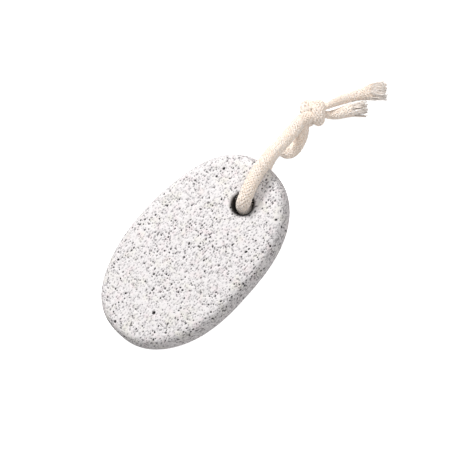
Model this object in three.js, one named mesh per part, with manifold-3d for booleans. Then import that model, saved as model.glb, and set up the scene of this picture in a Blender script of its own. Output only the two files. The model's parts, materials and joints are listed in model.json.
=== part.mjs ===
// A pumice stone for the feet, lying on its underside, with a loop of cotton cord through its hole.
// Millimetres, +Z up. The origin is the middle of the stone's footprint, on the surface it lies on.
// +X points along the stone to the end with the hole, +Y across it.
import * as THREE from 'three';
import { mergeVertices } from 'three/addons/utils/BufferGeometryUtils.js';
import Module from 'manifold-3d';

const wasm = await Module();
wasm.setup();

// Stone.
const STONE_LENGTH = 100;
const STONE_WIDTH = 61.8;
const STONE_HEIGHT = 25;
const OUTLINE_POWER = 2.3;
const OUTLINE_STEPS = 88;
const WIDEST_HEIGHT = 14.5;
const FACE_CROWN = 0.8;
const TOP_EDGE_INSET = 6;
const TOP_EDGE_POWER = 3;
const TOP_EDGE_STEPS = 9;
const FACE_STEPS = 4;
const REST_LENGTH = 34;
const REST_WIDTH = 26;
const REST_SHIFT = -7;
const HULL_OUT_POWER = 1.15;
const HULL_UP_POWER = 1.8;
const HULL_STEPS = 10;
const WAVES = [
  { count: 3, size: 0.20, turn: -1.7 },
  { count: 5, size: 0.14, turn: 4.0 },
  { count: 7, size: 0.10, turn: 1.1 },
];

// Hole, bored from face to face with both mouths worn round.
const HOLE_X = 29.8;
const HOLE_Y = -3.7;
const HOLE_RADIUS = 4.6;
const HOLE_STEPS = 28;
const TOP_MOUTH_ROUND = 2;
const TOP_MOUTH_HEIGHT = 24.6;
const LOW_MOUTH_ROUND = 3.5;
const LOW_MOUTH_HEIGHT = 4.5;
const LOW_MOUTH_TILT = -0.3;
const MOUTH_STEPS = 4;
const CUT_OVERSHOOT = 6;

// Cord. Each route is the cord's centre line.
const CORD_RADIUS = 3;
const TAIL_RADIUS = 2.2;
const CORD_SIDES = 10;
const CORD_STEP = 4.4;
const SOLID_GAP = 0.3;
const WELD_DISTANCE = 0.0001;
const FRONT_ROUTE = [
  [29, -3.5, 14], [29.1, -3.7, 17.5], [29.3, -3.9, 21], [29.7, -4.3, 24.4],
  [31.1, -4.4, 27.2], [34.5, -3.4, 28.5], [38.6, -2, 28.6], [42.4, -0.9, 28.5],
  [46, 0.1, 28.1], [49.4, 0.9, 26.8], [53, 2.2, 24.4], [57, 3.5, 21.4],
  [61.5, 4.6, 18.1], [66, 5.7, 15.1], [70.5, 6.7, 12.6], [75, 7.4, 11],
  [79, 8, 9.9],
];
const BACK_ROUTE = [
  [29, -3.5, 13.2], [29, -3.4, 10], [29.4, -3.2, 6.9], [31.3, -2.4, 4.3],
  [34.9, -0.7, 3.1], [39.5, 1.9, 3.05], [43.8, 4.6, 3.05], [48, 7.2, 3.05],
  [52.6, 9, 3.05], [56.8, 9.9, 3.05], [59.6, 9.6, 3.05], [61, 7.9, 3.05],
  [61.1, 5.8, 3.05], [62.7, 4.2, 3.05], [65.4, 3.8, 3.05], [68.7, 4.5, 3.05],
  [71.8, 5.7, 3.15], [75.2, 7, 3.4], [78.5, 7.8, 3.9],
];
const LONG_TAIL_ROUTE = [
  [85.5, 6.2, 7.6], [89.3, 4.6, 6.8], [92.3, 3.8, 5.6], [95, 3, 4.2], [98, 1.7, 3.2],
  [101, -0.1, 2.5], [104, -2.3, 2.3], [107, -5, 2.4], [109.7, -7.7, 2.7], [112, -10.3, 3.1],
];
const SHORT_TAIL_ROUTE = [
  [84.5, 4.3, 4.4], [87.1, 2, 3.5], [89.4, 0.1, 2.8], [91.9, -1.7, 2.5], [94.6, -3.6, 2.3],
  [96.8, -5.5, 2.5], [98.4, -7.2, 2.8], [99.9, -8.9, 3],
];

// Knot: two turns of the cord drawn tight, as one lumpy solid round the way the cord goes through.
const KNOT_CENTRE = [83.2, 7.7, 6.0];
const KNOT_AXIS = [0.8, -0.6, -0.04];
const KNOT_HALF_LENGTH = 5.6;
const KNOT_TURN_RADIUS = 5.9;
const KNOT_ROUNDNESS = 0.8;
const KNOT_GROOVE_SHARPNESS = 12;
const KNOT_GROOVE = 0.7;
const KNOT_PROFILE_STEPS = 16;
const KNOT_SIDES = 24;

const paint = (color, roughness) => new THREE.MeshStandardMaterial({ color, roughness, metalness: 0 });
const pumice = () => paint(0xe6e0e2, 0.95);
const cotton = () => paint(0xf1e4d2, 0.9);

const group = new THREE.Group();

function addMesh(name, geometry, material) {
  const mesh = new THREE.Mesh(geometry, material);
  mesh.name = name;
  group.add(mesh);
}

// Booleans: three.js geometry to a solid and back.
function toSolid(geometry) {
  const bare = geometry.clone();
  bare.deleteAttribute('normal');
  bare.deleteAttribute('uv');
  const merged = mergeVertices(bare, WELD_DISTANCE);
  return new wasm.Manifold(new wasm.Mesh({
    numProp: 3,
    vertProperties: Float32Array.from(merged.attributes.position.array),
    triVerts: Uint32Array.from(merged.index.array),
  }));
}

function toGeometry(solid) {
  const { vertProperties, triVerts } = solid.getMesh();
  const geometry = new THREE.BufferGeometry();
  geometry.setAttribute('position', new THREE.BufferAttribute(vertProperties, 3));
  geometry.setIndex(new THREE.BufferAttribute(triVerts, 1));
  geometry.computeVertexNormals();
  return geometry;
}

// The stone's level rings, from the middle of the underside up over the widest line to the top.
function stoneRings() {
  const halfLength = STONE_LENGTH / 2;
  const halfWidth = STONE_WIDTH / 2;
  const edgeHeight = STONE_HEIGHT - FACE_CROWN - WIDEST_HEIGHT;
  const rings = [];
  for (let step = HULL_STEPS; step > 0; step -= 1) {
    const angle = (Math.PI / 2) * (step / HULL_STEPS);
    const out = Math.max(Math.cos(angle), 0) ** (2 / HULL_OUT_POWER);
    rings.push({
      x: REST_LENGTH / 2 + (halfLength - REST_LENGTH / 2) * out,
      y: REST_WIDTH / 2 + (halfWidth - REST_WIDTH / 2) * out,
      shift: REST_SHIFT * (1 - out),
      z: step === HULL_STEPS ? 0 : WIDEST_HEIGHT * (1 - Math.sin(angle) ** (2 / HULL_UP_POWER)),
    });
  }
  for (let step = 0; step <= TOP_EDGE_STEPS; step += 1) {
    const angle = (Math.PI / 2) * (step / TOP_EDGE_STEPS);
    const inset = TOP_EDGE_INSET * (1 - Math.max(Math.cos(angle), 0) ** (2 / TOP_EDGE_POWER));
    rings.push({
      x: halfLength - inset,
      y: halfWidth - inset,
      shift: 0,
      z: WIDEST_HEIGHT + edgeHeight * Math.sin(angle) ** (2 / TOP_EDGE_POWER),
    });
  }
  for (let step = 1; step < FACE_STEPS; step += 1) {
    const scale = 1 - step / FACE_STEPS;
    rings.push({
      x: (halfLength - TOP_EDGE_INSET) * scale,
      y: (halfWidth - TOP_EDGE_INSET) * scale,
      shift: 0,
      z: STONE_HEIGHT - FACE_CROWN * scale * scale,
    });
  }
  return rings;
}

function outlinePoint(ring, turn) {
  const c = Math.cos(turn);
  const s = Math.sin(turn);
  const reach = (Math.abs(c) ** OUTLINE_POWER + Math.abs(s) ** OUTLINE_POWER) ** (-1 / OUTLINE_POWER);
  const scale = ring.x / (STONE_LENGTH / 2);
  const wave = WAVES.reduce((sum, w) => sum + w.size * Math.cos(w.count * turn + w.turn), 0);
  return [
    (ring.x * reach + wave * scale) * c + ring.shift,
    (ring.y * reach + wave * scale) * s,
    ring.z,
  ];
}

function stoneSolid() {
  const rings = stoneRings();
  const points = [[REST_SHIFT, 0, 0]];
  for (const ring of rings) {
    for (let step = 0; step < OUTLINE_STEPS; step += 1) {
      points.push(outlinePoint(ring, (2 * Math.PI * step) / OUTLINE_STEPS));
    }
  }
  points.push([0, 0, STONE_HEIGHT]);
  const at = (ring, step) => 1 + ring * OUTLINE_STEPS + (step % OUTLINE_STEPS);
  const faces = [];
  for (let step = 0; step < OUTLINE_STEPS; step += 1) {
    faces.push(0, at(0, step + 1), at(0, step));
    for (let ring = 0; ring < rings.length - 1; ring += 1) {
      faces.push(at(ring, step), at(ring, step + 1), at(ring + 1, step + 1));
      faces.push(at(ring, step), at(ring + 1, step + 1), at(ring + 1, step));
    }
    faces.push(points.length - 1, at(rings.length - 1, step), at(rings.length - 1, step + 1));
  }
  const geometry = new THREE.BufferGeometry();
  geometry.setAttribute('position', new THREE.Float32BufferAttribute(points.flat(), 3));
  geometry.setIndex(faces);
  return toSolid(geometry);
}

// A cutter that widens towards +Y of its own frame, with the round of a worn mouth.
function mouthCutter(round) {
  const profile = [new THREE.Vector2(0, -round - CUT_OVERSHOOT)];
  profile.push(new THREE.Vector2(HOLE_RADIUS, -round - CUT_OVERSHOOT));
  for (let step = 0; step <= MOUTH_STEPS; step += 1) {
    const angle = (Math.PI / 2) * (step / MOUTH_STEPS);
    profile.push(new THREE.Vector2(
      HOLE_RADIUS + round * (1 - Math.cos(angle)),
      round * (Math.sin(angle) - 1),
    ));
  }
  profile.push(new THREE.Vector2(HOLE_RADIUS + round, CUT_OVERSHOOT));
  profile.push(new THREE.Vector2(0, CUT_OVERSHOOT));
  return new THREE.LatheGeometry(profile, HOLE_STEPS);
}

function holeCutter() {
  const top = mouthCutter(TOP_MOUTH_ROUND);
  top.rotateX(Math.PI / 2);
  top.translate(HOLE_X, HOLE_Y, TOP_MOUTH_HEIGHT);
  const low = mouthCutter(LOW_MOUTH_ROUND);
  low.rotateX(-Math.PI / 2);
  low.rotateY(LOW_MOUTH_TILT);
  low.translate(HOLE_X, HOLE_Y, LOW_MOUTH_HEIGHT);
  const bore = new THREE.CylinderGeometry(HOLE_RADIUS, HOLE_RADIUS, STONE_HEIGHT, HOLE_STEPS);
  bore.rotateX(Math.PI / 2);
  bore.translate(HOLE_X, HOLE_Y, STONE_HEIGHT / 2);
  return toSolid(bore).add(toSolid(top)).add(toSolid(low));
}

// The knot's outer shape, turned round its axis; grow makes the room that the cords' ends stop at.
function knotSolid(grow) {
  const profile = [];
  for (let step = 0; step <= KNOT_PROFILE_STEPS; step += 1) {
    const along = Math.PI * (step / KNOT_PROFILE_STEPS);
    const groove = KNOT_GROOVE * Math.exp(-KNOT_GROOVE_SHARPNESS * Math.cos(along) ** 2);
    const full = (KNOT_TURN_RADIUS + grow) * Math.sin(along) ** KNOT_ROUNDNESS;
    const radius = full - groove * Math.sin(along);
    profile.push(new THREE.Vector2(Math.max(radius, 0), -(KNOT_HALF_LENGTH + grow) * Math.cos(along)));
  }
  profile[0].x = 0;
  profile[KNOT_PROFILE_STEPS].x = 0;
  const geometry = new THREE.LatheGeometry(profile, KNOT_SIDES);
  const axis = new THREE.Vector3(...KNOT_AXIS).normalize();
  geometry.applyQuaternion(new THREE.Quaternion().setFromUnitVectors(new THREE.Vector3(0, 1, 0), axis));
  geometry.translate(...KNOT_CENTRE);
  return toSolid(geometry);
}

function cordSection(radius) {
  const section = new THREE.Shape();
  for (let side = 0; side < CORD_SIDES; side += 1) {
    const turn = (2 * Math.PI * side) / CORD_SIDES;
    const point = [radius * Math.cos(turn), radius * Math.sin(turn)];
    if (side === 0) section.moveTo(...point);
    else section.lineTo(...point);
  }
  section.closePath();
  return section;
}

function cordGeometry(route, radius) {
  const points = route.map((point) => new THREE.Vector3(...point));
  const curve = new THREE.CatmullRomCurve3(points, false, 'centripetal');
  const steps = Math.round(curve.getLength() / CORD_STEP);
  return new THREE.ExtrudeGeometry(cordSection(radius), { steps, bevelEnabled: false, extrudePath: curve });
}

const stone = stoneSolid().subtract(holeCutter());
const knot = knotSolid(0);
const knotRoom = knotSolid(SOLID_GAP);
const cutCord = (route, radius) => toGeometry(toSolid(cordGeometry(route, radius)).subtract(knotRoom));

addMesh('stone', toGeometry(stone), pumice());
addMesh('cord_front', cutCord(FRONT_ROUTE, CORD_RADIUS), cotton());
addMesh('cord_back', cutCord(BACK_ROUTE, CORD_RADIUS), cotton());
addMesh('cord_knot', toGeometry(knot), cotton());
addMesh('cord_tail_long', cutCord(LONG_TAIL_ROUTE, TAIL_RADIUS), cotton());
addMesh('cord_tail_short', cutCord(SHORT_TAIL_ROUTE, TAIL_RADIUS), cotton());

export default group;
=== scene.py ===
"""A drilled pumice stone and its knotted cotton cord, on a pale table under a soft light."""

import json
import math

import bmesh
import bpy
import numpy as np
from mathutils import Matrix, Vector


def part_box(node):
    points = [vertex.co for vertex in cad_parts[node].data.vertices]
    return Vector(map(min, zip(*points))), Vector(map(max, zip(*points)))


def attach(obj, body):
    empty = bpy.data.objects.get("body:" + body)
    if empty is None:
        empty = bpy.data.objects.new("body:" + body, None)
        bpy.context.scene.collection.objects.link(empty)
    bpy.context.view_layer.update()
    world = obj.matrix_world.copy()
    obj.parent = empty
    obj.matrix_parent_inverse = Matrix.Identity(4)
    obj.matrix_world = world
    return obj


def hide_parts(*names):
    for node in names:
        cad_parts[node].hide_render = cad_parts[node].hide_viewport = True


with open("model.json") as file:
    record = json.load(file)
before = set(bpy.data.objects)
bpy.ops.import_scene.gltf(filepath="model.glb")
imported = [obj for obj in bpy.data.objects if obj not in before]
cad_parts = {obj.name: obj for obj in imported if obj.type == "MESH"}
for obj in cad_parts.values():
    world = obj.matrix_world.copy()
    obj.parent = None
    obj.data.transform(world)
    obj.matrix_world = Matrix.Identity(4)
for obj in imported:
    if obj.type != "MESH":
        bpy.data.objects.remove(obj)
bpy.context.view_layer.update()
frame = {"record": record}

MM = 0.001
stone_low, stone_high = (Vector(corner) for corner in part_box("stone"))
stone_middle = (stone_low + stone_high) / 2


# ---------------------------------------------------------------- node trees

class Tree:
    """Builds one node tree by name: takes its inputs, adds nodes and wires them."""

    def __init__(self, nodes_tree):
        self.tree = nodes_tree
        self.inlet = None

    @classmethod
    def group(cls, name, kind, inputs=(), outputs=()):
        made = cls(bpy.data.node_groups.new(name, kind))
        face = made.tree.interface
        for label, socket, value in inputs:
            item = face.new_socket(label, in_out="INPUT", socket_type="NodeSocket" + socket)
            if value is not None:
                item.default_value = value
        for label, socket in outputs:
            face.new_socket(label, in_out="OUTPUT", socket_type="NodeSocket" + socket)
        made.inlet = made.tree.nodes.new("NodeGroupInput").outputs
        return made

    def add(self, kind, wires=(), out=0, **settings):
        node = self.tree.nodes.new(kind)
        for key, value in settings.items():
            setattr(node, key, value)
        for key, value in dict(wires).items():
            self.wire(value, node.inputs[key])
        return node.outputs[out] if out is not None else node

    def wire(self, value, socket):
        if isinstance(value, bpy.types.NodeSocket):
            self.tree.links.new(value, socket)
        else:
            socket.default_value = value

    def math(self, operation, *values, clamp=False):
        return self.add("ShaderNodeMath", enumerate(values), operation=operation, use_clamp=clamp)

    def vector(self, operation, *values):
        node = self.add("ShaderNodeVectorMath", enumerate(values), out=None, operation=operation)
        return node.outputs["Value"] if operation in ("LENGTH", "DOT_PRODUCT") else node.outputs[0]

    def scaled(self, direction, amount):
        return self.add("ShaderNodeVectorMath", {0: direction, "Scale": amount}, operation="SCALE")

    def mixed(self, factor, colour, other):
        return self.add("ShaderNodeMix", {0: factor, 6: colour, 7: other}, out=2, data_type="RGBA")

    def attribute(self, name, kind="FLOAT"):
        return self.add("GeometryNodeInputNamedAttribute", {"Name": name}, data_type=kind)

    def store(self, geometry, name, value, kind="FLOAT"):
        wires = {"Geometry": geometry, "Name": name, "Value": value}
        return self.add("GeometryNodeStoreNamedAttribute", wires, data_type=kind, domain="POINT")

    def out(self, label, value):
        outlet = next((n for n in self.tree.nodes if n.bl_idname == "NodeGroupOutput"), None)
        outlet = outlet or self.tree.nodes.new("NodeGroupOutput")
        self.tree.links.new(value, outlet.inputs[label])

    def finish(self, geometry, material):
        real = self.add("GeometryNodeRealizeInstances", {0: geometry})
        painted = self.add("GeometryNodeSetMaterial", {"Geometry": real, "Material": material})
        self.wire(painted, self.tree.nodes.new("NodeGroupOutput").inputs[0])


def settle(obj):
    """Makes what the object's modifiers give its plain mesh."""
    bpy.context.view_layer.update()
    result = bpy.data.meshes.new_from_object(obj.evaluated_get(bpy.context.evaluated_depsgraph_get()))
    obj.modifiers.clear()
    obj.data = result


def run_tree(obj, tree, **values):
    """Runs a geometry tree on an object and leaves the result as its plain mesh."""
    modifier = obj.modifiers.new(tree.name, "NODES")
    modifier.node_group = tree
    named = {item.name: item.identifier for item in tree.interface.items_tree if item.in_out == "INPUT"}
    for label, value in values.items():
        modifier[named[label.replace("_", " ")]] = value
    settle(obj)


def new_object(name, mesh):
    obj = bpy.data.objects.new(name, mesh)
    bpy.context.scene.collection.objects.link(obj)
    return obj


# ---------------------------------------------------------------- camera

VIEW_ELEVATION = math.radians(70)
VIEW_ROLL = math.radians(47.25)
VIEW_DISTANCE = 0.70
VIEW_LENS = 124.8
AIM_RIGHT = 12.17 * MM
AIM_UP = 13.15 * MM


def place_camera():
    forward = Vector((0, math.cos(VIEW_ELEVATION), -math.sin(VIEW_ELEVATION)))
    right = Vector((1, 0, 0))
    up = right.cross(forward)
    rolled_right = right * math.cos(VIEW_ROLL) - up * math.sin(VIEW_ROLL)
    rolled_up = right * math.sin(VIEW_ROLL) + up * math.cos(VIEW_ROLL)
    camera = bpy.data.objects.new("camera", bpy.data.cameras.new("camera"))
    camera.data.lens = VIEW_LENS
    camera.data.clip_start = 0.01
    turned = Matrix((rolled_right, rolled_up, -forward)).transposed().to_4x4()
    aim = stone_middle + rolled_right * AIM_RIGHT + rolled_up * AIM_UP
    camera.matrix_world = Matrix.Translation(aim - forward * VIEW_DISTANCE) @ turned
    bpy.context.scene.collection.objects.link(camera)
    bpy.context.scene.camera = camera


place_camera()


# ---------------------------------------------------------------- cotton

def drift_tree():
    """A slow drift of tone over a surface: a soft-edged mask between two levels of a noise."""
    made = Tree.group("tone_drift", "ShaderNodeTree", [
        ("Place", "Vector", None), ("Size", "Float", 20 * MM), ("Low", "Float", 0.45),
        ("High", "Float", 0.65), ("Shift", "Vector", None)], [("Mask", "Float")])
    take = made.inlet
    scaled = made.scaled(take["Place"], made.math("DIVIDE", 1.0, take["Size"]))
    moved = made.vector("ADD", scaled, take["Shift"])
    noise = made.add("ShaderNodeTexNoise", {"Vector": moved, "Detail": 2.0})
    levels = {"Value": noise, "From Min": take["Low"], "From Max": take["High"]}
    mask = made.add("ShaderNodeMapRange", levels, interpolation_type="SMOOTHSTEP")
    made.out("Mask", mask)
    return made.tree


tone_drift = drift_tree()

YARN_SHADE = (0.90, 0.74, 0.60, 1)
YARN_PALE = (0.98, 0.92, 0.87, 1)
CUT_TIP = (0.42, 0.38, 0.33, 1)
FLECK_SCALE = 2400.0


def cotton_material():
    material = bpy.data.materials.new("braided_cotton")
    material.use_nodes = True
    made = Tree(material.node_tree)
    shader = material.node_tree.nodes["Principled BSDF"]
    place = made.add("ShaderNodeTexCoord", out=3)
    tint = made.add("ShaderNodeAttribute", out=2, attribute_name="yarn_tint")
    tip = made.add("ShaderNodeAttribute", out=2, attribute_name="cut_tip")
    drift = {"Place": place, "Size": 3.5 * MM, "Low": 0.3, "High": 0.7, "Shift": (1.0, 3.0, 2.0)}
    stained = made.add("ShaderNodeGroup", drift, node_tree=tone_drift)
    mixed = made.math("MULTIPLY_ADD", stained, 0.5, made.math("MULTIPLY", tint, 0.5))
    colour = made.mixed(mixed, YARN_SHADE, YARN_PALE)
    made.wire(made.mixed(tip, colour, CUT_TIP), shader.inputs["Base Color"])
    shader.inputs["Roughness"].default_value = 0.92
    shader.inputs["Sheen Weight"].default_value = 0.25
    shader.inputs["Specular IOR Level"].default_value = 0.25
    fleck = made.add("ShaderNodeTexNoise", {"Vector": place, "Scale": FLECK_SCALE, "Detail": 2.0})
    bump = made.add("ShaderNodeBump", {"Height": fleck, "Strength": 0.35, "Distance": 0.2 * MM})
    made.wire(bump, shader.inputs["Normal"])
    return material


cotton = cotton_material()


# ---------------------------------------------------------------- cord route

CORD_RADIUS = 3.2
PUFFED_RADIUS = 3.4
PATH_STEP = 0.42
# The route of each strand's centre line, as the frame has it, in millimetres.
FRONT_ROUTE = [
    (29.0, -3.5, 14.0), (29.1, -3.7, 17.5), (29.3, -3.9, 21.0), (29.7, -4.3, 24.4), (31.1, -4.4, 27.2),
    (34.5, -3.4, 28.5), (38.6, -2.0, 28.6), (42.4, -0.9, 28.5), (46.0, 0.1, 28.1), (49.4, 0.9, 26.8),
    (53.0, 2.2, 24.4), (57.0, 3.5, 21.4), (61.5, 4.6, 18.1), (66.0, 5.7, 15.1), (70.5, 6.7, 12.6),
]
BACK_ROUTE = [
    (29.0, -3.5, 13.2), (29.0, -3.4, 10.0), (29.4, -3.2, 6.9), (31.3, -2.4, 4.3), (34.9, -0.7, 3.15),
    (39.5, 1.9, 3.1), (43.8, 4.6, 3.1), (48.0, 7.2, 3.1), (52.6, 9.0, 3.1), (56.8, 9.9, 3.1),
    (59.6, 9.6, 3.1), (61.0, 7.9, 3.1), (61.1, 5.8, 3.1), (62.7, 4.2, 3.1), (65.4, 3.8, 3.1),
    (68.7, 4.5, 3.2), (71.8, 5.7, 3.4),
]
# Each tail's points carry the cord's radius there as a fourth number: the ends are combed out.
LONG_TAIL_ROUTE = [
    (89.3, 4.6, 6.8, 1.7), (92.3, 3.8, 5.6, 2.1), (95.0, 3.0, 4.2, 2.35), (98.0, 1.7, 3.2, 2.45),
    (101.0, -0.1, 2.8, 2.6), (104.0, -2.3, 3.0, 3.1), (107.0, -5.0, 3.7, 4.1), (109.7, -7.7, 4.3, 4.9),
    (112.0, -10.3, 4.6, 4.9),
]
SHORT_TAIL_ROUTE = [
    (87.1, 2.0, 3.5, 2.1), (89.4, 0.1, 3.0, 2.6), (91.9, -1.7, 3.0, 2.9), (94.6, -3.6, 3.1, 3.2),
    (96.8, -5.5, 3.4, 3.7), (98.4, -7.2, 3.8, 4.2), (99.9, -8.9, 4.0, 4.4),
]

# The knot: the front strand dives through, the back one turns round both and follows it out.
KNOT_CENTRE = Vector((83.2, 7.7, 6.0))
KNOT_AXIS = Vector((0.80, -0.60, -0.04)).normalized()
KNOT_UP = (Vector((0, 0, 1)) - KNOT_AXIS * KNOT_AXIS.z).normalized()
KNOT_SIDE = KNOT_UP.cross(KNOT_AXIS)
# Places in the knot: how far along its axis, how far off it, the angle round it, the cord's radius.
FRONT_IN_KNOT = [
    (-7.2, 5.0, 148, 3.2), (-4.6, 4.1, 140, 3.2), (-2.2, 3.6, 136, 3.0), (0.2, 2.4, 128, 1.9),
    (2.6, 1.3, 100, 1.3), (5.6, 1.5, 50, 1.5),
]
BACK_IN_KNOT = [
    (-5.8, 3.9, 198, 3.1), (-3.2, 3.5, 208, 2.7), (-0.8, 2.0, 250, 1.6), (1.4, 1.5, 300, 1.3),
    (3.3, 2.2, 325, 1.6), (3.9, 2.7, 345, 2.0), (3.1, 2.6, 8, 2.5),
]
BACK_TURNS = [
    (2.5, 2.4, 35, 3.0), (2.4, 3.0, 70, 3.2), (2.3, 3.5, 100, 3.3), (2.0, 3.9, 130, 3.2),
    (1.4, 4.4, 160, 3.1), (1.2, 4.2, 190, 2.8), (1.2, 3.6, 220, 2.4), (0.4, 3.4, 250, 2.4),
    (-0.8, 3.4, 280, 2.6), (-2.0, 3.0, 310, 3.2), (-2.4, 2.5, 340, 4.0), (-2.4, 2.1, 370, 4.4),
    (-2.4, 1.9, 400, 4.4), (-2.4, 1.8, 430, 4.2),
]
BACK_OUT_OF_KNOT = [
    (-2.2, 1.5, 465, 3.0), (-0.8, 1.4, 510, 1.6), (1.4, 1.4, 540, 1.3), (3.8, 1.9, 550, 1.6),
]


def knot_point(along, reach, angle, radius):
    turn = math.radians(angle)
    out = KNOT_SIDE * math.cos(turn) + KNOT_UP * math.sin(turn)
    return (*(KNOT_CENTRE + KNOT_AXIS * along + out * reach), radius)


def full_width(route, radius):
    return [(*point, radius) for point in route]


def front_points():
    through = [knot_point(*place) for place in FRONT_IN_KNOT]
    return full_width(FRONT_ROUTE, PUFFED_RADIUS) + through + LONG_TAIL_ROUTE


def back_points():
    through = [knot_point(*place) for place in BACK_IN_KNOT + BACK_TURNS + BACK_OUT_OF_KNOT]
    return full_width(BACK_ROUTE, CORD_RADIUS) + through + SHORT_TAIL_ROUTE


def smooth_line(points, step):
    """One smooth curve through the points, as even steps: positions and radius, in metres."""
    given = np.array(points, float)
    given = np.vstack([2 * given[0] - given[1], given, 2 * given[-1] - given[-2]])
    samples = []
    for first in range(len(given) - 3):
        p = given[first:first + 4]
        knots = np.concatenate([[0], np.cumsum(np.linalg.norm(np.diff(p[:, :3], axis=0), axis=1) ** 0.5)])
        t = np.linspace(knots[1], knots[2], 24, endpoint=first == len(given) - 4)[:, None]

        def between(a, b, low, high):
            return a * (knots[high] - t) / (knots[high] - knots[low]) + b * (t - knots[low]) / (
                knots[high] - knots[low])

        a1, a2, a3 = between(p[0], p[1], 0, 1), between(p[1], p[2], 1, 2), between(p[2], p[3], 2, 3)
        samples.append(between(between(a1, a2, 0, 2), between(a2, a3, 1, 3), 1, 2))
    dense = np.vstack(samples)
    along = np.concatenate([[0], np.cumsum(np.linalg.norm(np.diff(dense[:, :3], axis=0), axis=1))])
    even = np.linspace(0, along[-1], int(round(along[-1] / step)) + 1)
    return np.stack([np.interp(even, along, dense[:, k]) for k in range(4)], axis=1) * MM, even * MM


def centre_line(name, line, along):
    """The strand's centre line as a chain of edges that carries its radius and distance."""
    mesh = bpy.data.meshes.new(name)
    mesh.from_pydata(line[:, :3].tolist(), [(k, k + 1) for k in range(len(line) - 1)], [])
    mesh.attributes.new("cord_radius", "FLOAT", "POINT").data.foreach_set("value", line[:, 3])
    mesh.attributes.new("cord_along", "FLOAT", "POINT").data.foreach_set("value", along)
    return new_object(name, mesh)


# ---------------------------------------------------------------- cord trees

YARNS_EACH_WAY = 11
YARN_TURN = 16 * MM
YARN_RADIUS = 0.33 * MM
YARN_LIFT = 0.15 * MM
PLY_REACH = 0.26 * MM
PLY_TURN = 3.0 * MM
YARN_STRAY = 0.4 * MM
FLOOR_CLEAR = 0.1 * MM
YARN_SIDES = 4
YARN_NOISE_SCALE = 700.0
YARN_NOISE_GAP = 0.05
PLY_FLATNESS = 0.45
RAGGED_BACK = 3 * MM
RAGGED_ON = 1 * MM
CORE_SIDES = 10
CORE_SHARE = 0.74
BRUSH_STEPS = 10
TIP_SHARPNESS = 20
TIP_DARKNESS = 0.55


def above_floor(made, geometry, clear):
    """Presses whatever would sink into the table flat onto it."""
    place = made.add("ShaderNodeSeparateXYZ", {0: made.add("GeometryNodeInputPosition")}, out=None)
    height = made.math("MAXIMUM", place.outputs[2], clear)
    flat = made.add("ShaderNodeCombineXYZ", {0: place.outputs[0], 1: place.outputs[1], 2: height})
    return made.add("GeometryNodeSetPosition", {"Geometry": geometry, "Position": flat})


def cord_frame(made, geometry):
    """Keeps the centre line's own directions, so that copies can be moved about it."""
    capture = made.tree.nodes.new("GeometryNodeCaptureAttribute")
    made.wire(geometry, capture.inputs["Geometry"])
    for label in ("Side", "Tangent"):
        capture.capture_items.new("VECTOR", label)
    side = made.add("GeometryNodeInputNormal")
    tangent = made.add("GeometryNodeInputTangent")
    made.wire(side, capture.inputs["Side"])
    made.wire(tangent, capture.inputs["Tangent"])
    cross = made.vector("CROSS_PRODUCT", capture.outputs["Tangent"], capture.outputs["Side"])
    return capture.outputs["Geometry"], capture.outputs["Side"], cross


def around(made, side, cross, angle, reach):
    across = made.scaled(side, made.math("MULTIPLY", made.math("COSINE", angle), reach))
    upward = made.scaled(cross, made.math("MULTIPLY", made.math("SINE", angle), reach))
    return made.vector("ADD", across, upward)


def tube(made, curve, sides, scale):
    ring = made.add("GeometryNodeCurvePrimitiveCircle", {"Resolution": sides, "Radius": 1.0})
    wires = {"Curve": curve, "Profile Curve": ring, "Scale": scale, "Fill Caps": True}
    return made.add("GeometryNodeCurveToMesh", wires)


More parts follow.
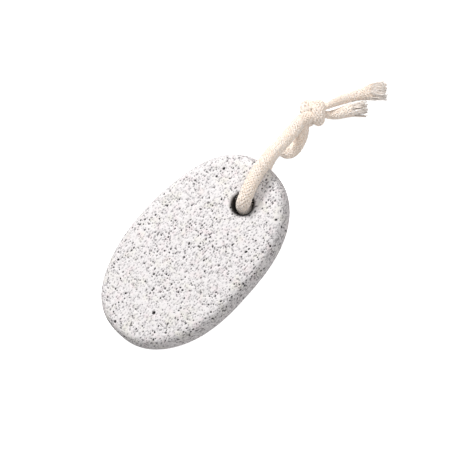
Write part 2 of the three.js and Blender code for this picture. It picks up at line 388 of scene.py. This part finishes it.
def braid_tree():
    """Twisted two-ply yarns plaited over and under each other round the centre line."""
    made = Tree.group("cotton_braid", "GeometryNodeTree", [
        ("Geometry", "Geometry", None), ("Yarns Each Way", "Int", YARNS_EACH_WAY),
        ("Turn Length", "Float", YARN_TURN), ("Yarn Radius", "Float", YARN_RADIUS),
        ("Yarn Lift", "Float", YARN_LIFT), ("Ply Reach", "Float", PLY_REACH),
        ("Ply Turn", "Float", PLY_TURN), ("Braid End", "Float", 1.0),
        ("Full Radius", "Float", CORD_RADIUS * MM), ("Cotton", "Material", None)], [("Geometry", "Geometry")])
    take = made.inlet
    line = made.add("GeometryNodeMeshToCurve", {"Mesh": take["Geometry"]})
    line, side, cross = cord_frame(made, line)
    ways = take["Yarns Each Way"]
    copies = made.add("GeometryNodeDuplicateElements", {
        "Geometry": line, "Amount": made.math("MULTIPLY", ways, 4)}, out=None, domain="SPLINE")
    index = copies.outputs["Duplicate Index"]
    away = made.math("FLOORED_MODULO", index, 2)
    direction = made.math("SUBTRACT", 1, made.math("MULTIPLY", away, 2))
    ply = made.math("FLOORED_MODULO", made.math("FLOOR", made.math("DIVIDE", index, 2)), 2)
    carrier = made.math("FLOOR", made.math("DIVIDE", index, 4))
    along = made.attribute("cord_along")
    radius = made.attribute("cord_radius")
    squeeze = made.math("DIVIDE", radius, take["Full Radius"])
    turns = made.math("DIVIDE", along, take["Turn Length"])
    step = made.math("DIVIDE", carrier, ways)
    lay = made.math("MULTIPLY", made.math("MULTIPLY_ADD", turns, direction, step), math.tau)
    beat = made.math("COSINE", made.math("MULTIPLY", made.math("MULTIPLY", turns, ways), math.tau))
    lift = made.math("MULTIPLY", made.math("MULTIPLY", beat, direction), take["Yarn Lift"])
    yarn = made.math("MULTIPLY_ADD", carrier, 2, away)
    own = made.add("FunctionNodeRandomValue", {"ID": yarn, 8: 3}, out=1)
    start = made.math("MULTIPLY_ADD", ply, 0.5, own)
    twist = made.math("ADD", made.math("DIVIDE", along, take["Ply Turn"]), start)
    twist = made.math("MULTIPLY", twist, math.tau)
    reach_in = made.math("MULTIPLY", take["Ply Reach"], squeeze)
    ply_out = made.math("MULTIPLY", made.math("SINE", twist), made.math("MULTIPLY", reach_in, PLY_FLATNESS))
    ply_across = made.math("MULTIPLY", made.math("COSINE", twist), reach_in)
    inset = made.math("ADD", made.math("ADD", take["Yarn Lift"], take["Yarn Radius"]),
                      made.math("MULTIPLY", take["Ply Reach"], PLY_FLATNESS))
    ring = made.math("SUBTRACT", radius, made.math("MULTIPLY", inset, squeeze))
    reach = made.math("ADD", ring, made.math("MULTIPLY_ADD", lift, squeeze, ply_out))
    angle = made.math("ADD", lay, made.math("DIVIDE", ply_across, ring))
    moved = made.add("GeometryNodeSetPosition", {
        "Geometry": copies.outputs["Geometry"], "Offset": around(made, side, cross, angle, reach)})
    apart = made.add("ShaderNodeCombineXYZ", {0: made.math("MULTIPLY", index, YARN_NOISE_GAP)})
    sampled = made.vector("ADD", made.add("GeometryNodeInputPosition"), apart)
    rough = made.add("ShaderNodeTexNoise", {
        "Vector": sampled, "Scale": YARN_NOISE_SCALE, "Detail": 1.0}, out=1)
    stray = made.scaled(made.vector("SUBTRACT", rough, (0.5, 0.5, 0.5)), YARN_STRAY)
    moved = made.add("GeometryNodeSetPosition", {"Geometry": moved, "Offset": stray})
    ragged = made.add("FunctionNodeRandomValue", {
        2: -RAGGED_BACK, 3: RAGGED_ON, "ID": index, 8: 11}, out=1)
    past = made.math("GREATER_THAN", along, made.math("ADD", take["Braid End"], ragged))
    kept = made.add("GeometryNodeDeleteGeometry", {"Geometry": moved, "Selection": past}, domain="POINT")
    tint = made.add("FunctionNodeRandomValue", {"ID": index, 8: 5}, out=1)
    kept = made.store(kept, "yarn_tint", tint)
    kept = made.store(kept, "cut_tip", 0.0)
    thick = made.math("MULTIPLY", take["Yarn Radius"], squeeze)
    yarns = tube(made, kept, YARN_SIDES, thick)
    inner = made.add("GeometryNodeDeleteGeometry", {
        "Geometry": line, "Selection": made.math("GREATER_THAN", along, take["Braid End"])}, domain="POINT")
    inner = made.store(inner, "yarn_tint", 0.2)
    core = tube(made, inner, CORE_SIDES, made.math("MULTIPLY", radius, CORE_SHARE))
    both = made.add("GeometryNodeJoinGeometry", out=None)
    made.wire(yarns, both.inputs[0])
    made.wire(core, both.inputs[0])
    made.finish(above_floor(made, both.outputs[0], FLOOR_CLEAR), take["Cotton"])
    return made.tree


def brush_tree():
    """The combed-out end: loose fibre bundles that leave the braid and spread to a ragged cut."""
    made = Tree.group("combed_end", "GeometryNodeTree", [
        ("Geometry", "Geometry", None), ("Bundles", "Int", 120), ("Bundle Radius", "Float", 0.17 * MM),
        ("Brush Start", "Float", 0.0), ("Brush End", "Float", 1.0), ("Ragged", "Float", 1.6 * MM),
        ("Wander", "Float", 0.7 * MM), ("Seed", "Int", 1), ("Cotton", "Material", None)],
        [("Geometry", "Geometry")])
    take = made.inlet
    line = made.add("GeometryNodeMeshToCurve", {"Mesh": take["Geometry"]})
    line, side, cross = cord_frame(made, line)
    along = made.attribute("cord_along")
    short = made.add("GeometryNodeDeleteGeometry", {
        "Geometry": line, "Selection": made.math("LESS_THAN", along, take["Brush Start"])}, domain="POINT")
    short = made.add("GeometryNodeResampleCurve", {"Curve": short, "Count": BRUSH_STEPS})
    copies = made.add("GeometryNodeDuplicateElements", {
        "Geometry": short, "Amount": take["Bundles"]}, out=None, domain="SPLINE")
    index = copies.outputs["Duplicate Index"]

    def chance(offset, low=0.0, high=1.0):
        wires = {2: low, 3: high, "ID": index, 8: made.math("ADD", take["Seed"], offset)}
        return made.add("FunctionNodeRandomValue", wires, out=1)

    length = made.math("SUBTRACT", take["Brush End"], take["Brush Start"])
    open_part = made.math("DIVIDE", made.math("SUBTRACT", along, take["Brush Start"]), length)
    angle = made.math("MULTIPLY", chance(1), math.tau)
    curl = made.math("MULTIPLY_ADD", open_part, chance(2, -0.7, 0.7), angle)
    share = made.math("SQRT", chance(3))
    reach = made.math("MULTIPLY", made.math("MULTIPLY", made.attribute("cord_radius"), share), 0.88)
    moved = made.add("GeometryNodeSetPosition", {
        "Geometry": copies.outputs["Geometry"], "Offset": around(made, side, cross, curl, reach)})
    where = made.add("ShaderNodeCombineXYZ", {
        0: made.math("MULTIPLY", along, 260.0), 1: made.math("MULTIPLY", chance(4), 90.0), 2: 0.0})
    noise = made.add("ShaderNodeTexNoise", {"Vector": where, "Scale": 1.0, "Detail": 1.0}, out=1)
    centred = made.vector("SUBTRACT", noise, (0.5, 0.5, 0.5))
    stray = made.math("MULTIPLY", made.math("MULTIPLY", take["Wander"], open_part), 4.0)
    moved = made.add("GeometryNodeSetPosition", {"Geometry": moved, "Offset": made.scaled(centred, stray)})
    uneven = made.math("MULTIPLY", chance(5), take["Ragged"])
    last = made.math("SUBTRACT", 1.0, made.math("DIVIDE", uneven, length))
    kept = made.add("GeometryNodeTrimCurve", {0: moved, 3: last}, mode="FACTOR")
    kept = made.store(kept, "yarn_tint", chance(6, 0.9, 1.6))
    tip = made.math("MULTIPLY_ADD", made.math("SUBTRACT", open_part, last), TIP_SHARPNESS, 1.0, clamp=True)
    kept = made.store(kept, "cut_tip", made.math("MULTIPLY", tip, TIP_DARKNESS))
    bundles = tube(made, kept, YARN_SIDES, made.math("MULTIPLY", take["Bundle Radius"], chance(7, 0.6, 1.3)))
    made.finish(above_floor(made, bundles, FLOOR_CLEAR), take["Cotton"])
    return made.tree


def fuzz_tree():
    """Short stray fibres that stand off the cord's surface."""
    made = Tree.group("cotton_fuzz", "GeometryNodeTree", [
        ("Geometry", "Geometry", None), ("Hairs Per Square Metre", "Float", 1.6e5),
        ("Hair Length", "Float", 1.1 * MM), ("Hair Radius", "Float", 0.018 * MM), ("Seed", "Int", 1),
        ("Cotton", "Material", None)],
        [("Geometry", "Geometry")])
    take = made.inlet
    spots = made.add("GeometryNodeDistributePointsOnFaces", {
        "Mesh": take["Geometry"], "Density": take["Hairs Per Square Metre"], "Seed": take["Seed"]}, out=None)
    hair = made.add("GeometryNodeCurvePrimitiveLine", {"Start": (0, 0, 0), "End": (0, 0, 1)})
    hair = made.add("GeometryNodeResampleCurve", {"Curve": hair, "Count": 4})
    placed = made.add("GeometryNodeInstanceOnPoints", {
        "Points": spots.outputs["Points"], "Instance": hair, "Rotation": spots.outputs["Rotation"],
        "Scale": take["Hair Length"]})
    lean = made.add("FunctionNodeRandomValue", {0: (-1.0, -1.0, -0.3), 1: (1.0, 1.0, 0.3), 8: 21}, out=0,
                    data_type="FLOAT_VECTOR")
    placed = made.add("GeometryNodeRotateInstances", {"Instances": placed, "Rotation": lean})
    real = made.add("GeometryNodeRealizeInstances", {0: placed})
    noise = made.add("ShaderNodeTexNoise", {
        "Vector": made.add("GeometryNodeInputPosition"), "Scale": 900.0, "Detail": 0.0}, out=1)
    part = made.add("GeometryNodeSplineParameter")
    bend = made.math("MULTIPLY", made.math("MULTIPLY", part, take["Hair Length"]), 2.2)
    curled = made.add("GeometryNodeSetPosition", {
        "Geometry": real, "Offset": made.scaled(made.vector("SUBTRACT", noise, (0.5, 0.5, 0.5)), bend)})
    curled = made.store(curled, "yarn_tint", 0.9)
    hairs = tube(made, curled, 3, take["Hair Radius"])
    made.finish(above_floor(made, hairs, FLOOR_CLEAR), take["Cotton"])
    return made.tree


def joined(name, parts):
    """One object from several meshes in the same frame."""
    for part in bpy.context.selected_objects:
        part.select_set(False)
    for part in parts:
        part.select_set(True)
    bpy.context.view_layer.objects.active = parts[0]
    bpy.ops.object.join()
    parts[0].name = name
    return parts[0]


BRUSH_LENGTH = 11 * MM
BRAID_STOP = 6 * MM
braid = braid_tree()
brush = brush_tree()
fuzz = fuzz_tree()


def make_strand(name, points, bundles, seed):
    line, along = smooth_line(points, PATH_STEP)
    length = float(along[-1])
    cover = centre_line(name + "_cover", line, along)
    run_tree(cover, braid, Braid_End=length - BRAID_STOP, Cotton=cotton)
    end = centre_line(name + "_end", line, along)
    run_tree(end, brush, Bundles=bundles, Brush_Start=length - BRUSH_LENGTH, Brush_End=length,
             Seed=seed, Cotton=cotton)
    strand = joined(name, [cover, end])
    hairs = new_object(name + "_hairs", strand.data.copy())
    run_tree(hairs, fuzz, Seed=seed, Cotton=cotton)
    return joined(name, [strand, hairs]), line[:, :3], length


FRONT_MOUTH = (29.6 * MM, -3.4 * MM, 24.0 * MM)
BACK_MOUTH = (30.0 * MM, -2.5 * MM, 5.0 * MM)
FRONT_BUNDLES = 130
BACK_BUNDLES = 110
FRONT_SEED = 40
BACK_SEED = 60


def lay_strand(strand, path, length, mouth, *nodes):
    """Hangs a strand on the root body and hides the cad parts that it stands in for."""
    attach(strand, "root")
    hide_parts(*nodes)


front = make_strand("front_strand", front_points(), FRONT_BUNDLES, FRONT_SEED)
back = make_strand("back_strand", back_points(), BACK_BUNDLES, BACK_SEED)
lay_strand(*front, FRONT_MOUTH, "cord_front", "cord_knot", "cord_tail_long")
lay_strand(*back, BACK_MOUTH, "cord_back", "cord_tail_short")


# ---------------------------------------------------------------- stone trees

HOLE_CENTRE = (29.8 * MM, -3.7 * MM)
# Between these two radii the painted shade inside the bore fades in, from the lip to the wall.
HOLE_LIP = 6.4 * MM
HOLE_WALL = 5.1 * MM
SURFACE_STEP = 0.26 * MM
STONE_FACES = 196000
GRIT_SCALE = 1100.0
# Each size of bubble: its cell, its stretch, its least and greatest radius in cells, and its seed.
LARGE_PORES = (5.8 * MM, (1.2, 1.0, 1.0), 0.065, 0.14, (5.2, 8.8, 3.3))
MEDIUM_PORES = (2.7 * MM, (1.2, 1.0, 1.0), 0.12, 0.175, (9.2, 4.4, 2.9))
COMMON_PORES = (1.12 * MM, (1.4, 1.0, 1.0), 0.17, 0.38, (3.7, 1.3, 8.1))
TINY_PORES = (0.9 * MM, (1.4, 1.0, 1.0), 0.15, 0.33, (1.1, 7.8, 5.3))
SIDE_PORES = (1.25 * MM, (1.6, 1.0, 0.9), 0.24, 0.41, (6.6, 2.1, 4.9))


def cavity_tree():
    """How deep a round bubble cuts below the surface: zero outside its open mouth."""
    made = Tree.group("bubble_cavity", "GeometryNodeTree", [
        ("Offset", "Vector", None), ("Inward", "Vector", None), ("Radius", "Float", 1.0)],
        [("Depth", "Float")])
    take = made.inlet
    apart = made.vector("DOT_PRODUCT", take["Offset"], take["Offset"])
    scale = made.vector("DOT_PRODUCT", take["Inward"], take["Inward"])
    height = made.vector("DOT_PRODUCT", take["Offset"], take["Inward"])
    within = made.math("SUBTRACT", made.math("MULTIPLY", take["Radius"], take["Radius"]), apart)
    square = made.math("MULTIPLY_ADD", height, height, made.math("MULTIPLY", scale, within))
    root = made.math("SQRT", made.math("MAXIMUM", square, 0.0))
    depth = made.math("DIVIDE", made.math("ADD", height, root), scale)
    made.out("Depth", made.math("MULTIPLY", depth, made.math("GREATER_THAN", within, 0.0)))
    return made.tree


def pore_layer_tree(cavity):
    """One size of bubble, scattered evenly through the stone and cut open by its surface."""
    made = Tree.group("pore_layer", "GeometryNodeTree", [
        ("Place", "Vector", None), ("Normal", "Vector", None), ("Cell Size", "Float", 1.6 * MM),
        ("Stretch", "Vector", (1.0, 1.0, 1.0)), ("Least Radius", "Float", 0.3),
        ("Greatest Radius", "Float", 0.5), ("Seed Shift", "Vector", None)], [("Depth", "Float")])
    take = made.inlet
    squeezed = made.vector("DIVIDE", take["Place"], take["Stretch"])
    cells = made.scaled(squeezed, made.math("DIVIDE", 1.0, take["Cell Size"]))
    cells = made.vector("ADD", cells, take["Seed Shift"])
    bubbles = made.add("ShaderNodeTexVoronoi", {"Vector": cells, "Scale": 1.0, "Randomness": 0.8}, out=None)
    own = made.add("ShaderNodeSeparateXYZ", {0: bubbles.outputs["Color"]})
    radius = made.add("ShaderNodeMapRange", {
        "Value": own, "To Min": take["Least Radius"], "To Max": take["Greatest Radius"]})
    offset = made.vector("SUBTRACT", cells, bubbles.outputs["Position"])
    inward = made.vector("DIVIDE", take["Normal"], take["Stretch"])
    wires = {"Offset": offset, "Inward": inward, "Radius": radius}
    cut = made.add("GeometryNodeGroup", wires, node_tree=cavity)
    made.out("Depth", made.math("MULTIPLY", cut, take["Cell Size"]))
    return made.tree


def stone_tree():
    """Smooths the sawn body, then opens its bubbles, from the few large ones to the tiny ones."""
    cavity = cavity_tree()
    layer = pore_layer_tree(cavity)
    made = Tree.group("porous_stone", "GeometryNodeTree", [
        ("Geometry", "Geometry", None), ("Smoothing", "Int", 24),
        ("Deepest", "Float", 0.85 * MM), ("Grit", "Float", 0.02 * MM), ("Pumice", "Material", None)],
        [("Geometry", "Geometry")])
    take = made.inlet
    place = made.add("GeometryNodeInputPosition")
    apart = made.add("ShaderNodeSeparateXYZ", {0: place}, out=None)
    from_hole = made.vector("LENGTH", made.add("ShaderNodeCombineXYZ", {
        0: made.math("SUBTRACT", apart.outputs[0], HOLE_CENTRE[0]),
        1: made.math("SUBTRACT", apart.outputs[1], HOLE_CENTRE[1])}))
    away = made.add("ShaderNodeMapRange", {
        "Value": from_hole, "From Min": 5 * MM, "From Max": 11 * MM, "To Min": 0.25, "To Max": 1.0})
    blurred = made.add("GeometryNodeBlurAttribute", {
        "Value": place, "Iterations": take["Smoothing"], "Weight": away}, data_type="FLOAT_VECTOR")
    smooth = made.add("GeometryNodeSetPosition", {"Geometry": take["Geometry"], "Position": blurred})
    normal = made.add("GeometryNodeInputNormal")

    def pores(size, stretch, least, greatest, shift):
        return made.add("GeometryNodeGroup", {
            "Place": place, "Normal": normal, "Cell Size": size, "Stretch": stretch, "Least Radius": least,
            "Greatest Radius": greatest, "Seed Shift": shift}, node_tree=layer)

    common = pores(*COMMON_PORES)
    medium = pores(*MEDIUM_PORES)
    tiny = pores(*TINY_PORES)
    large = pores(*LARGE_PORES)
    flatness = made.math("ABSOLUTE", made.add("ShaderNodeSeparateXYZ", {0: normal}, out=2))
    steep = made.add("ShaderNodeMapRange", {"Value": flatness, "From Min": 0.85, "From Max": 0.45})
    clear = made.add("ShaderNodeMapRange", {"Value": from_hole, "From Min": 6 * MM, "From Max": 8 * MM})
    side = made.math("MULTIPLY", steep, clear)
    rough = made.math("MULTIPLY", pores(*SIDE_PORES), side)
    open_depth = made.math("MAXIMUM", common, medium)
    open_depth = made.math("MAXIMUM", open_depth, made.math("MAXIMUM", tiny, rough))
    limited = made.math("MINIMUM", open_depth, take["Deepest"])
    deep_limit = made.math("MULTIPLY", take["Deepest"], 2.0)
    depth = made.math("MAXIMUM", limited, made.math("MINIMUM", large, deep_limit))
    grit = made.add("ShaderNodeTexNoise", {"Vector": place, "Scale": GRIT_SCALE, "Detail": 2.0})
    depth = made.math("ADD", depth, made.math("MULTIPLY", grit, take["Grit"]))
    marked = made.store(smooth, "pore_depth", depth)
    # The bore's painted shade: none outside the lip, full at the wall.
    inside = made.add("ShaderNodeMapRange", {
        "Value": from_hole, "From Min": HOLE_LIP, "From Max": HOLE_WALL})
    marked = made.store(marked, "hole_shade", inside)
    # side_shade marks the steep sides: their extra pores, and their grey that is partly wear, partly painted
    # shade.
    marked = made.store(marked, "side_shade", side)
    inward = made.math("MULTIPLY", made.attribute("pore_depth"), -1.0)
    pushed = made.add("GeometryNodeSetPosition", {
        "Geometry": marked, "Offset": made.scaled(normal, inward)})
    round_shade = made.add("GeometryNodeSetShadeSmooth", {"Geometry": pushed, "Shade Smooth": True})
    made.finish(above_floor(made, round_shade, 0.0), take["Pumice"])
    return made.tree


def make_stone(material):
    body = new_object("stone_body", bpy.data.objects["stone"].data.copy())
    weld = bmesh.new()
    weld.from_mesh(body.data)
    bmesh.ops.remove_doubles(weld, verts=weld.verts, dist=0.001 * MM)
    weld.to_mesh(body.data)
    weld.free()
    body.data.materials.clear()
    even = body.modifiers.new("even_faces", "REMESH")
    even.mode = "VOXEL"
    even.voxel_size = SURFACE_STEP
    run_tree(body, stone_tree(), Pumice=material)
    thin = body.modifiers.new("fewer_faces", "DECIMATE")
    thin.ratio = STONE_FACES / sum(len(face.vertices) - 2 for face in body.data.polygons)
    settle(body)
    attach(body, "root")
    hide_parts("stone")


# ---------------------------------------------------------------- pumice

def pit_tree():
    """Pits too small to model, whose dark insides are painted shade: a mask that is one in the middle of each
    pit.
    """
    made = Tree.group("fine_pits", "ShaderNodeTree", [
        ("Place", "Vector", None), ("Cell Size", "Float", 0.8 * MM), ("Stretch", "Vector", (1.0, 1.0, 1.0)),
        ("Pit Radius", "Float", 0.3), ("Shift", "Vector", None)], [("Mask", "Float")])
    take = made.inlet
    squeezed = made.vector("DIVIDE", take["Place"], take["Stretch"])
    cells = made.scaled(squeezed, made.math("DIVIDE", 1.0, take["Cell Size"]))
    cells = made.vector("ADD", cells, take["Shift"])
    spots = made.add("ShaderNodeTexVoronoi", {"Vector": cells, "Scale": 1.0}, out=None)
    core = made.math("MULTIPLY", take["Pit Radius"], 0.2)
    mask = made.add("ShaderNodeMapRange", {
        "Value": spots.outputs["Distance"], "From Min": take["Pit Radius"], "From Max": core},
        interpolation_type="SMOOTHSTEP")
    own = made.add("ShaderNodeSeparateXYZ", {0: spots.outputs["Color"]})
    made.out("Mask", made.math("MULTIPLY", mask, own))
    return made.tree


PUMICE = frame["record"]["materials"][0]["base_color"][:3]
YELLOW_STAIN = (0.80, 0.78, 0.66, 1)
PINK_STAIN = (0.84, 0.73, 0.74, 1)
# Steep sides go greyer: partly their own wear, partly painted shade that darkens them.
WORN_AND_SHADED_SIDE = (0.50, 0.47, 0.47, 1)
# Painted shade inside pits too small to model.
FINE_PIT_SHADE = (0.17, 0.155, 0.17, 1)
# Painted shade in the modelled pores: the deeper the pore, the darker.
PAINTED_PORE_SHADE = (0.012, 0.010, 0.011, 1)
# Painted shade inside the bore.
PAINTED_HOLE_SHADE = (0.012, 0.010, 0.009, 1)
FINE_GRIT_SCALE = 1300.0


def pumice_material(pits):
    material = bpy.data.materials.new("pale_pumice")
    material.use_nodes = True
    made = Tree(material.node_tree)
    shader = material.node_tree.nodes["Principled BSDF"]
    place = made.add("ShaderNodeTexCoord", out=3)

    def mask(tree, **values):
        wires = {key.replace("_", " "): value for key, value in values.items()}
        return made.add("ShaderNodeGroup", {"Place": place, **wires}, node_tree=tree)

    yellow = mask(tone_drift, Size=28 * MM, Low=0.5, High=0.75, Shift=(4.0, 2.0, 1.0))
    pink = mask(tone_drift, Size=20 * MM, Low=0.5, High=0.75, Shift=(9.0, 5.0, 3.0))
    specks = mask(pits, Cell_Size=0.8 * MM, Stretch=(1.4, 1.0, 1.0), Pit_Radius=0.55, Shift=(2.0, 6.0, 1.0))
    streaks = mask(pits, Cell_Size=1.15 * MM, Stretch=(1.9, 1.0, 1.0), Pit_Radius=0.5, Shift=(5.0, 1.0, 7.0))
    side = made.add("ShaderNodeAttribute", out=2, attribute_name="side_shade")
    depth = made.add("ShaderNodeAttribute", out=2, attribute_name="pore_depth")
    # How much painted shade each pore gets, growing with its depth.
    deep = made.add("ShaderNodeMapRange", {"Value": depth, "From Min": 0.08 * MM, "From Max": 0.42 * MM})
    hole = made.add("ShaderNodeAttribute", out=2, attribute_name="hole_shade")
    colour = made.mixed(made.math("MULTIPLY", yellow, 0.4), (*PUMICE, 1), YELLOW_STAIN)
    colour = made.mixed(made.math("MULTIPLY", pink, 0.5), colour, PINK_STAIN)
    # Steep sides mixed towards grey: partly wear, partly painted shade.
    colour = made.mixed(made.math("MULTIPLY", side, 0.38), colour, WORN_AND_SHADED_SIDE)
    # The fine pits and streaks get painted shade in their middles.
    colour = made.mixed(made.math("MULTIPLY", specks, 0.9), colour, FINE_PIT_SHADE)
    colour = made.mixed(made.math("MULTIPLY", streaks, 0.8), colour, FINE_PIT_SHADE)
    colour = made.mixed(made.math("MULTIPLY", deep, 0.95), colour, PAINTED_PORE_SHADE)
    # Painted shade inside the bore and on its lip.
    colour = made.mixed(made.math("MULTIPLY", hole, 0.98), colour, PAINTED_HOLE_SHADE)
    made.wire(colour, shader.inputs["Base Color"])
    shader.inputs["Roughness"].default_value = 0.95
    shader.inputs["Specular IOR Level"].default_value = 0.2
    grit = made.add("ShaderNodeTexNoise", {"Vector": place, "Scale": FINE_GRIT_SCALE, "Detail": 3.0})
    relief = made.math("SUBTRACT", grit, made.math("ADD", specks, streaks))
    made.wire(made.add("ShaderNodeBump", {"Height": relief, "Strength": 0.5, "Distance": 0.10 * MM}),
              shader.inputs["Normal"])
    return material


make_stone(pumice_material(pit_tree()))


# ---------------------------------------------------------------- table and light

TABLE_HALF = 2.0
TABLE_WHITE = (0.93, 0.93, 0.93, 1)
TABLE_GLOW = (0.8, 0.8, 0.8, 1)
ROOM_STRENGTH = 0.25
# Each light: its place in metres, the width of its square and its power in watts.
KEY_LIGHT = ((0.38, 0.78, 0.95), 0.30, 13.6)
FILL_LIGHT = ((0.16, -0.46, 1.10), 0.60, 5.2)


def make_table():
    mesh = bpy.data.meshes.new("table")
    corners = [(-1, -1), (1, -1), (1, 1), (-1, 1)]
    mesh.from_pydata([(x * TABLE_HALF, y * TABLE_HALF, 0) for x, y in corners], [], [(0, 1, 2, 3)])
    table = new_object("table", mesh)
    white = bpy.data.materials.new("white_table")
    white.use_nodes = True
    shader = white.node_tree.nodes["Principled BSDF"]
    shader.inputs["Base Color"].default_value = TABLE_WHITE
    shader.inputs["Roughness"].default_value = 0.9
    shader.inputs["Emission Color"].default_value = TABLE_GLOW
    made = Tree(white.node_tree)
    made.wire(made.add("ShaderNodeLightPath"), shader.inputs["Emission Strength"])
    table.data.materials.append(white)


def soft_light(name, place, size, power):
    lamp = bpy.data.lights.new(name, "AREA")
    lamp.shape = "SQUARE"
    lamp.size = size
    lamp.energy = power
    light = bpy.data.objects.new(name, lamp)
    light.location = place
    light.rotation_euler = (stone_middle - Vector(place)).to_track_quat("-Z", "Y").to_euler()
    bpy.context.scene.collection.objects.link(light)


def light_room(strength):
    world = bpy.data.worlds.new("room")
    world.use_nodes = True
    world.node_tree.nodes["Background"].inputs["Color"].default_value = (1, 1, 1, 1)
    world.node_tree.nodes["Background"].inputs["Strength"].default_value = strength
    bpy.context.scene.world = world


make_table()
light_room(ROOM_STRENGTH)
soft_light("key", *KEY_LIGHT)
soft_light("fill", *FILL_LIGHT)
bpy.context.scene.view_settings.view_transform = "Standard"
